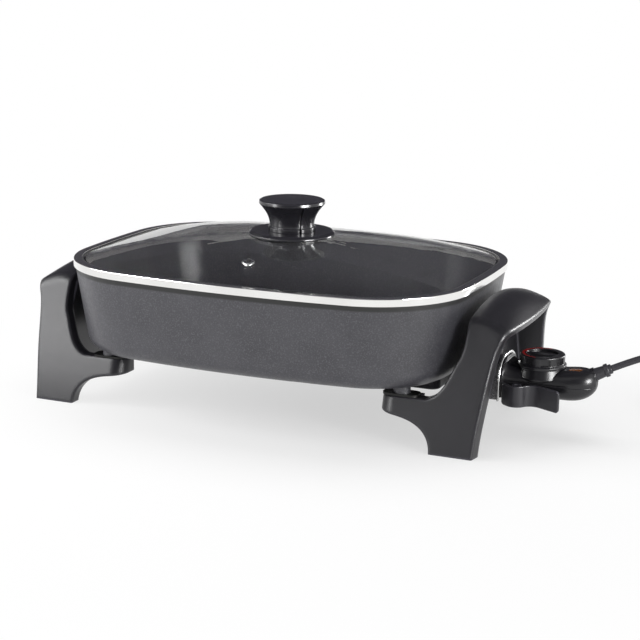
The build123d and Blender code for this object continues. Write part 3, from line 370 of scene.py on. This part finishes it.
def moulding(name, tone, rough, grain, depth, gloss=0.5, edge=0.0009, edge_highlight_gain=2.0):
    """Moulded black plastic or rubber.

    grain and depth are the size and height of its grain, gloss its specular level, edge the
    radius of its edges, which get a painted highlight: the last argument says how many times paler
    than the rest they are.
    """
    tint = (tone, tone * 0.96, tone * 1.2)
    made = Finish(name, tint, rough, Specular_IOR_Level=gloss)
    # painted highlight: the edges get a paler colour, standing in for light caught on their rounded
    # arrises
    dark, light, painted_edge_highlight = ([part * share for part in tint] for share in (0.88, 1.12, edge_highlight_gain))
    edges = made.soft_edges(edge)
    made.drive("Base Color", made.mix(edges, made.mix(made.cloud(0.035), dark, light), painted_edge_highlight))
    fine = made.noise(grain, 2.0)
    mottle = made.sum(made.noise(0.006), fine)
    made.drive("Roughness", made.ramp(mottle, *made.usual_sum, rough * 0.94, rough * 1.07))
    made.bump(fine, depth)
    return made


def mottled(name, colour, roughness, patches, polish, grain, stretch=(1, 1, 1), **sockets):
    """A material that is much the same all over.

    patches: size and detail of its stains, and their two colours
    polish: size of its smoother and duller spots, and their roughness, stretched by stretch
    grain: size, detail and height of its grain
    """
    made = Finish(name, colour, roughness, **sockets)
    size, detail, dark, light = patches
    made.drive("Base Color", made.mix(made.cloud(size, detail), dark, light))
    size, smooth, dull = polish
    made.drive("Roughness", made.cloud(size, stretch=stretch, to_low=smooth, to_high=dull))
    size, detail, depth = grain
    made.bump(made.noise(size, detail), depth)
    return made


finish = {
    "pan": pan_coating(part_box("lid_ring")[0][2]),
    "ring": polished_steel(),
    "steel": bright_steel(),
    "black_steel": bright_steel("black_steel", tone=0.035, rough=0.4),
    "guard": bright_steel("guard_steel", tone=0.78, rough=0.2),
    "screw": bright_steel("screw_steel", tone=0.5, rough=0.3),
    "element": mottled(
        "element_steel",
        (0.28, 0.26, 0.24),
        0.42,
        patches=(0.02, 4.0, (0.2, 0.175, 0.15), (0.34, 0.33, 0.32)),
        polish=(0.003, 0.32, 0.55),
        grain=(0.0015, 3.0, 0.00003),
        Metallic=1.0,
    ),
    "glass": lid_glass(),
    "silicone": mottled(
        "silicone",
        (0.06, 0.06, 0.062),
        0.5,
        patches=(0.01, 3.0, (0.05, 0.05, 0.052), (0.075, 0.075, 0.078)),
        polish=(0.004, 0.42, 0.6),
        grain=(0.0008, 2.0, 0.00002),
    ),
    "knob": moulding("knob_black", 0.02, 0.19, grain=0.0012, depth=0.000004, gloss=0.6),
    "handle": moulding(
        "handle_black", 0.015, 0.34, grain=0.0007, depth=0.00003, edge=0.0036, edge_highlight_gain=6.0
    ),
    "control": moulding("control_black", 0.012, 0.3, grain=0.0006, depth=0.000006),
    "lever": moulding(
        "lever_black", 0.03, 0.38, grain=0.0006, depth=0.00002, edge=0.0016, edge_highlight_gain=5.0
    ),
    "dial": moulding("dial_black", 0.012, 0.3, grain=0.0006, depth=0.00002),
    "cord": moulding("cord_rubber", 0.026, 0.44, grain=0.0009, depth=0.00003),
    "tie": moulding("tie_strap", 0.03, 0.7, grain=0.0006, depth=0.00005, gloss=0.3),
    "switch": moulding("switch_plastic", 0.3, 0.5, grain=0.0008, depth=0.00002),
    "ceramic": mottled(
        "ceramic",
        (0.72, 0.7, 0.65),
        0.45,
        patches=(0.004, 4.0, (0.66, 0.63, 0.57), (0.78, 0.76, 0.72)),
        polish=(0.001, 0.35, 0.6),
        grain=(0.0006, 2.0, 0.00002),
        Subsurface_Weight=0.1,
        Subsurface_Scale=0.002,
    ),
    "red": mottled(
        "red_ink",
        (0.4, 0.016, 0.018),
        0.32,
        patches=(0.003, 3.0, (0.32, 0.012, 0.013), (0.46, 0.02, 0.022)),
        polish=(0.0008, 0.26, 0.42),
        grain=(0.0005, 2.0, 0.00001),
    ),
    "amber": amber_lens(),
    "brass": mottled(
        "brass",
        (0.62, 0.47, 0.22),
        0.24,
        patches=(0.006, 4.0, (0.5, 0.37, 0.17), (0.68, 0.53, 0.27)),
        polish=(0.0015, 0.18, 0.34),
        grain=(0.001, 3.0, 0.00001),
        stretch=(8, 1, 1),
        Metallic=1.0,
    ),
}

worn_by = {
    "pan": ("pan",),
    "ring": ("lid_ring",),
    "glass": ("lid_glass",),
    "silicone": ("rim_seal",),
    "knob": ("knob_base", "lid_knob"),
    "screw": (
        "knob_screw", "knob_washer", "leg_screws", "guard_screws", "lever_pin", "lever_spring"
    ),
    "steel": ("terminal_plate", "terminal_pins", "sensor_rod"),
    "black_steel": ("mounting_plates",),
    "guard": ("inlet_guard", "vent_grommet"),
    "element": ("heating_element",),
    "handle": ("left_handle", "right_handle"),
    "control": ("control_upper_shell", "control_lower_shell"),
    "lever": ("release_lever",),
    "dial": ("temperature_dial", "dial_shaft"),
    "red": ("dial_ring", "dial_pointer"),
    "amber": ("indicator_lens",),
    "brass": ("contact_sleeves", "plug_pins", "plug_earth_clips"),
    "ceramic": ("pin_insulators",),
    "switch": ("thermostat_switch",),
    "cord": ("strain_relief", "plug_body"),
    "tie": ("cord_tie",),
}


def wear(piece, kind):
    """Gives every material slot of a piece the one finish."""
    material = finish[kind].material
    if not piece.material_slots:
        piece.data.materials.append(material)
    for slot in piece.material_slots:
        slot.material = material


for kind, names in worn_by.items():
    for name in names:
        wear(nodes[name], kind)
wear(cord, "cord")


# ---------------------------------------------------------- floor and light

white = (1.0, 1.0, 1.0, 1.0)
lid_middle = (0, 0, 0.1)       # in pan coordinates, like every place and target below


def aim(made, place, target):
    """Stands an object at place, with its -Z towards target."""
    start = Vector(place) + pan_centre
    made.location = start
    along = Vector(target) + pan_centre - start
    made.rotation_euler = along.to_track_quat("-Z", "Y").to_euler()


def make_card(name, width, height, material):
    """A flat rectangle that wears this material."""
    x, y = width / 2, height / 2
    mesh = bpy.data.meshes.new(name)
    mesh.from_pydata([(-x, -y, 0), (x, -y, 0), (x, y, 0), (-x, y, 0)], [], [(0, 1, 2, 3)])
    mesh.materials.append(material)
    return add_object(name, mesh)


def blend(tree, share, first, second):
    """Makes the surface a blend of two shaders' outputs, all of the second where share is 1."""
    both = put(tree, "ShaderNodeMixShader", Fac=share)
    tree.links.new(first, both.inputs[1])
    tree.links.new(second, both.inputs[2])
    tree.links.new(both.outputs["Shader"], tree.nodes["Material Output"].inputs["Surface"])


def white_seen(tree):
    """1 for camera, glossy and transmission rays until they have met a dull surface, else 0."""
    path = tree.nodes.new("ShaderNodeLightPath").outputs
    looking = work_out(tree, "MAXIMUM", path["Is Camera Ray"], path["Is Glossy Ray"])
    looking = work_out(tree, "MAXIMUM", looking, path["Is Transmission Ray"])
    before_dull = work_out(tree, "LESS_THAN", path["Diffuse Depth"], 0.5)
    return work_out(tree, "MULTIPLY", looking, before_dull)


def make_floor():
    """A wide pale floor that is plain white where it is looked at, but for the soft shadow."""
    side = 24.0
    pale = (0.82, 0.82, 0.82)
    shadow_middle = pan_centre + Vector((0.17, -0.04, 0.0))
    shadow_near, shadow_far = 0.1, 0.62          # metres from there, over which it fades out
    least_white = 0.58
    material, shader = new_material("floor", pale, 0.9, Specular_IOR_Level=0.0)
    tree = material.node_tree
    glow = put(tree, "ShaderNodeEmission", Color=white, Strength=1.0)
    spot = tree.nodes.new("ShaderNodeTexCoord").outputs["Object"]
    reach = work_out(tree, "DISTANCE", spot, shadow_middle, "ShaderNodeVectorMath")
    fade = spread(tree, reach, shadow_near, shadow_far, least_white, 1.0, "SMOOTHSTEP")
    share = work_out(tree, "MULTIPLY", white_seen(tree), fade)
    blend(tree, share, shader.outputs["BSDF"], glow.outputs["Emission"])
    floor = make_card("floor", side, side, material)


def make_world(light):
    """A white room: even light on the object, and plain white where it is looked at."""
    world = bpy.data.worlds.new("studio")
    bpy.context.scene.world = world
    world.use_nodes = True
    tree = world.node_tree
    sky = tree.nodes["Background"]
    sky.inputs["Color"].default_value = white
    strength = spread(tree, white_seen(tree), 0.0, 1.0, light, 1.0)
    tree.links.new(strength, sky.inputs["Strength"])


def make_softbox(name, place, target, size, power, on_dull=True, in_gloss=True):
    """A rectangular lamp in watts that lights dull surfaces, shows in glossy ones, or both."""
    lamp = bpy.data.lights.new(name, "AREA")
    lamp.shape = "RECTANGLE"
    lamp.size, lamp.size_y = size
    lamp.energy = power
    light = add_object(name, lamp)
    aim(light, place, target)
    light.visible_camera = False
    light.visible_diffuse = on_dull
    light.visible_glossy = in_gloss
    light.visible_transmission = in_gloss


def make_flag(name, place, target, size, tone):
    """A dark card that only reflections see, but for those of what lies under the lid."""
    tint = (tone, tone * 0.97, tone * 1.12)
    most_glass = 3.5                             # a look under the lid and out passes 4 faces
    material, shader = new_material(name, tint, 1.0, Specular_IOR_Level=0.0)
    tree = material.node_tree
    path = tree.nodes.new("ShaderNodeLightPath").outputs
    reflected = work_out(tree, "GREATER_THAN", path["Glossy Depth"], 0.5)
    in_front = work_out(tree, "LESS_THAN", path["Transmission Depth"], most_glass)
    share = work_out(tree, "MULTIPLY", reflected, in_front)
    clear = tree.nodes.new("ShaderNodeBsdfTransparent").outputs["BSDF"]
    blend(tree, share, clear, shader.outputs["BSDF"])
    flag = make_card(name, *size, material)
    aim(flag, place, target)
    flag.visible_camera = False
    flag.visible_diffuse = False
    flag.visible_shadow = False


make_floor()
make_world(light=0.5)

for name, place, target, size, tone in (
    ("back_flag", (-0.9, 2.4, 1.16), (0, 0, 0.26), (5.0, 2.0), 0.09),
    ("top_flag", (-0.4, 1.0, 2.0), lid_middle, (4.0, 2.4), 0.09),
    ("roof_flag", (-0.4, -0.1, 2.3), (-0.4, -0.1, 0.1), (4.0, 2.6), 0.09),
    ("front_flag", (1.0, -2.6, 1.4), lid_middle, (4.2, 2.6), 0.15),
):
    make_flag(name, place, target, size, tone)

for name, place, target, size, power, on_dull, in_gloss in (
    ("overhead", (0.0, 0.45, 1.5), lid_middle, (1.6, 1.0), 14, True, False),
    ("left", (-1.5, -0.5, 0.9), lid_middle, (0.5, 1.0), 12, True, True),
    ("front_left", (-2.5, -2.0, 1.4), (-0.2, 0, 0.1), (1.9, 1.9), 35, True, True),
    ("kicker", (-1.0, -1.3, 0.52), (-0.22, -0.1, 0.06), (0.4, 0.6), 6.5, False, True),
    ("shoulder", (-0.96, -0.95, 1.07), (-0.22, -0.07, 0.11), (0.3, 0.2), 5, False, True),
    ("streak", (1.7, -0.62, 0.55), (-0.05, 0.0, 0.1), (0.85, 0.6), 44, False, True),
    ("rim", (1.27, 1.58, 0.3), (0.23, -0.09, 0.07), (0.5, 0.4), 19, False, True),
    ("right", (2.2, -1.0, 0.7), (0.1, 0, 0.1), (0.5, 0.9), 14, True, True),
):
    make_softbox(name, place, target, size, power, on_dull, in_gloss)

bpy.context.scene.view_settings.view_transform = "Standard"
